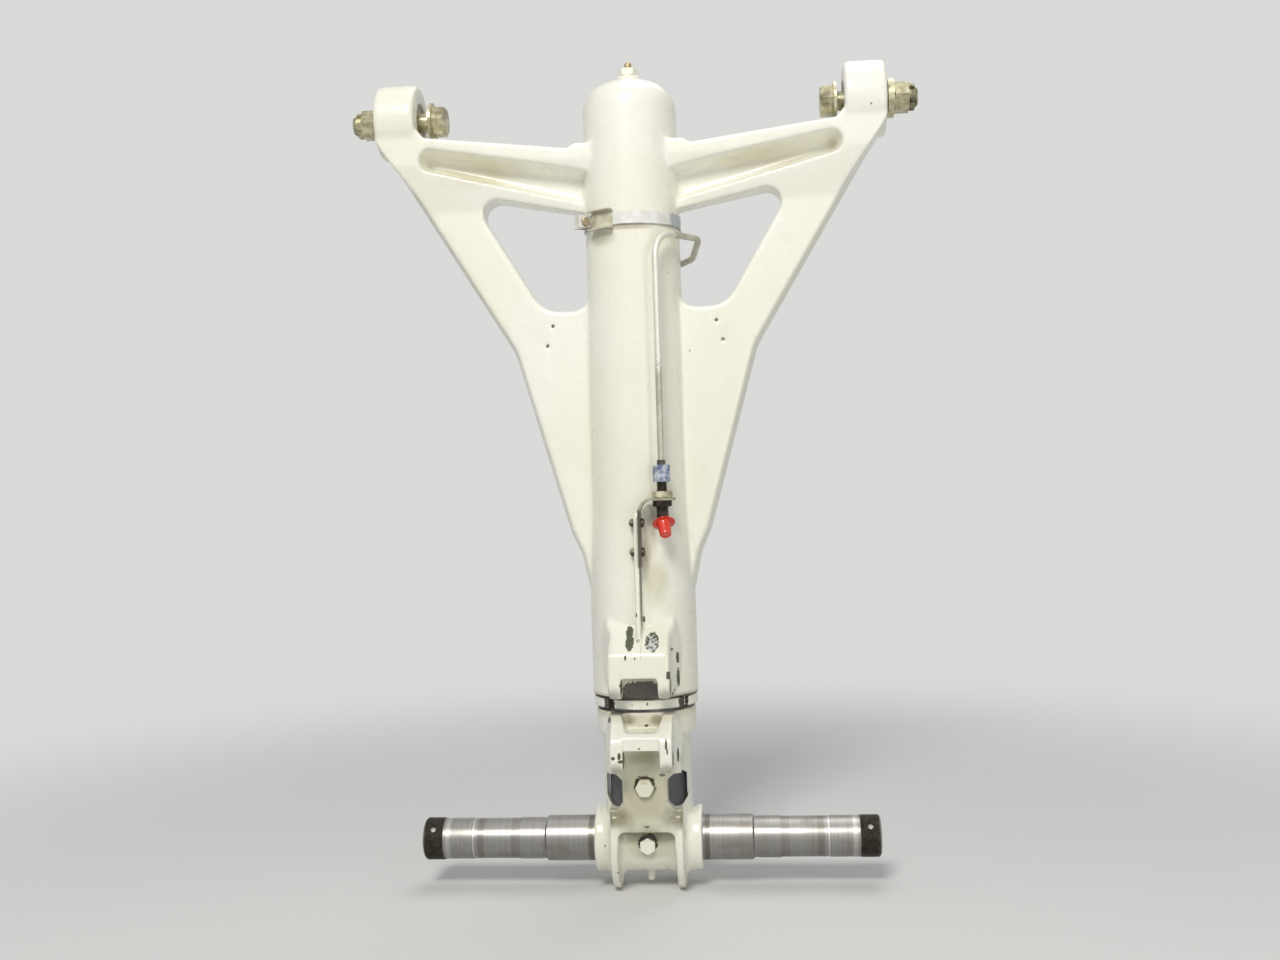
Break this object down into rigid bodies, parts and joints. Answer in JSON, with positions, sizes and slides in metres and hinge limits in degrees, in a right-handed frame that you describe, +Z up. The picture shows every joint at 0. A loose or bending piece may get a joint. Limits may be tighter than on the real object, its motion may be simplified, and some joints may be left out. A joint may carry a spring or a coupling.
{
  "type": "landing gear strut",
  "caption": "Air-oil landing gear leg: forged cylinder with two braced trunnion arms, piston in an axle fork, straight axle for two wheels, brake line.",
  "frame": {"origin": "where the leg's axis crosses the trunnion axis, midway between the lugs", "axes": "+Z up the leg, +X along the trunnion axis and the axle to the right, -Y to the torque link side"},
  "size_m": [0.5645, 0.175, 0.822],
  "materials": {
    "white_paint": "glossy white enamel over green primer on a forging",
    "cadmium_steel": "cadmium plated, worn and yellowed",
    "ground_steel": "bare ground steel with wear bands",
    "chromed_steel": "hard chromed and ground",
    "bronze": "machined bronze",
    "rubber": "moulded nitrile rubber",
    "ptfe": "turned white plastic",
    "band_steel": "rolled stainless strip, stained",
    "tube_aluminium": "drawn tube, dull",
    "blue_anodised": "blue anodised, worn on the corners",
    "dark_steel": "darkened steel",
    "brass": "plated brass",
    "red_plastic": "moulded red polyethylene"
  },
  "bodies": {
    "cylinder": {"cylinder_barrel": "white_paint", "truss_left": "white_paint", "truss_right": "white_paint", "drag_brace_clevis": "white_paint", "upper_link_clevis": "white_paint", "gland_nut": "white_paint", "filler_valve_body": "white_paint", "trunnion_bushings_left": "cadmium_steel", "trunnion_bushings_right": "cadmium_steel", "upper_link_bushings": "cadmium_steel", "drag_brace_bushings": "cadmium_steel", "valve_stem": "brass", "clamp_band": "band_steel", "clamp_bracket": "band_steel", "clamp_bolt": "cadmium_steel", "clamp_nut": "cadmium_steel", "brake_tube": "tube_aluminium", "tube_sleeve": "dark_steel", "tube_nut": "blue_anodised", "rear_tube_sleeve": "dark_steel", "rear_tube_nut": "blue_anodised", "bulkhead_union": "dark_steel", "bulkhead_nut": "cadmium_steel", "union_bracket": "band_steel", "bracket_screws": "dark_steel", "bracket_nuts": "dark_steel", "scraper_ring": "bronze", "lower_bearing": "bronze", "seal_spacer": "bronze", "backup_rings": "ptfe", "piston_seal": "rubber", "gland_seal": "rubber", "orifice_tube": "tube_aluminium", "orifice_plate": "ground_steel"},
    "upper_bearing": {"upper_bearing": "bronze"},
    "piston": {"piston_tube": "chromed_steel", "bearing_retainer": "ground_steel", "piston_bulkhead": "tube_aluminium", "metering_pin": "ground_steel", "axle_fork": "white_paint", "lower_link_clevis": "white_paint", "lower_link_ears": "white_paint", "lower_link_bushings": "cadmium_steel", "fork_bolt": "cadmium_steel", "fork_bolt_nut": "cadmium_steel", "axle": "ground_steel", "axle_bolt": "cadmium_steel", "axle_bolt_nut": "cadmium_steel"},
    "left_washers": {"trunnion_washers_left": "cadmium_steel"},
    "left_bolt": {"trunnion_bolt_left": "cadmium_steel", "trunnion_nut_left": "cadmium_steel"},
    "right_washers": {"trunnion_washers_right": "cadmium_steel"},
    "right_bolt": {"trunnion_bolt_right": "cadmium_steel", "trunnion_nut_right": "cadmium_steel"},
    "dust_cap": {"dust_cap": "red_plastic"}
  },
  "joints": [
    {"name": "strut_stroke", "type": "slide", "parent": "cylinder", "child": "upper_bearing", "axis": [0, 0, -1], "range_m": [0, 0.254]},
    {"name": "piston_swivel", "type": "hinge", "parent": "upper_bearing", "child": "piston", "pos_m": [0, 0, -0.3], "axis": [0, 0, 1], "continuous": true},
    {"name": "left_bolt_slide", "type": "slide", "parent": "cylinder", "child": "left_washers", "axis": [-1, 0, 0], "range_m": [0, 0.0095]},
    {"name": "left_bolt_turn", "type": "hinge", "parent": "left_washers", "child": "left_bolt", "pos_m": [-0.2, 0, 0], "axis": [-1, 0, 0], "continuous": true},
    {"name": "right_bolt_slide", "type": "slide", "parent": "cylinder", "child": "right_washers", "axis": [1, 0, 0], "range_m": [-0.0019, 0.0062]},
    {"name": "right_bolt_turn", "type": "hinge", "parent": "right_washers", "child": "right_bolt", "pos_m": [0.2, 0, 0], "axis": [1, 0, 0], "continuous": true},
    {"name": "cap_pull", "type": "slide", "parent": "cylinder", "child": "dust_cap", "axis": [0.1392, 0, -0.9903], "range_m": [0, 0.02]}
  ]
}
